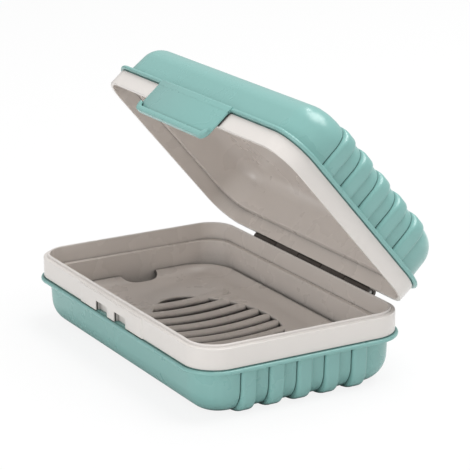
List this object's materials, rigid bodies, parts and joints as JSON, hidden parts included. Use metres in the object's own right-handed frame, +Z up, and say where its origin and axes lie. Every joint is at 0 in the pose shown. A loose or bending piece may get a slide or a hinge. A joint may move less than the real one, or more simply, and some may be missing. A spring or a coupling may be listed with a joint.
{
  "type": "travel soap box",
  "caption": "Hinged three-tone travel soap box standing open, with a lift-out draining rack, a flexing latch tongue and ribbed ends.",
  "frame": {"origin": "centre of the flat foot on which the base stands", "axes": "+X along the hinge, +Y from the latch towards the hinge, +Z up; the lid stands open at rest"},
  "size_m": [0.122, 0.0896, 0.0917],
  "materials": {
    "shell_teal": "fine satin moulded",
    "liner_taupe": "satin moulded",
    "band_stone": "satin moulded",
    "pin_steel": "drawn wire"
  },
  "bodies": {
    "base": {"base_shell": "shell_teal", "base_liner": "liner_taupe", "base_band": "band_stone", "hinge_pin": "pin_steel"},
    "rack": {"drain_rack": "liner_taupe"},
    "lid": {"lid_shell": "shell_teal", "lid_liner": "liner_taupe", "lid_band": "band_stone"},
    "latch": {"latch_tongue": "shell_teal"}
  },
  "joints": [
    {"name": "lid", "type": "hinge", "parent": "base", "child": "lid", "pos_m": [0, 0.0388, 0.0231], "axis": [-1, 0, 0], "range_deg": [-50, 130]},
    {"name": "latch", "type": "hinge", "parent": "lid", "child": "latch", "pos_m": [0, -0.00662, 0.08609], "axis": [-1, 0, 0], "range_deg": [0, 12], "stiffness_Nm_per_rad": 0.05},
    {"name": "rack_lift", "type": "slide", "parent": "base", "child": "rack", "axis": [0, 0, 1], "range_m": [0, 0.025]}
  ]
}
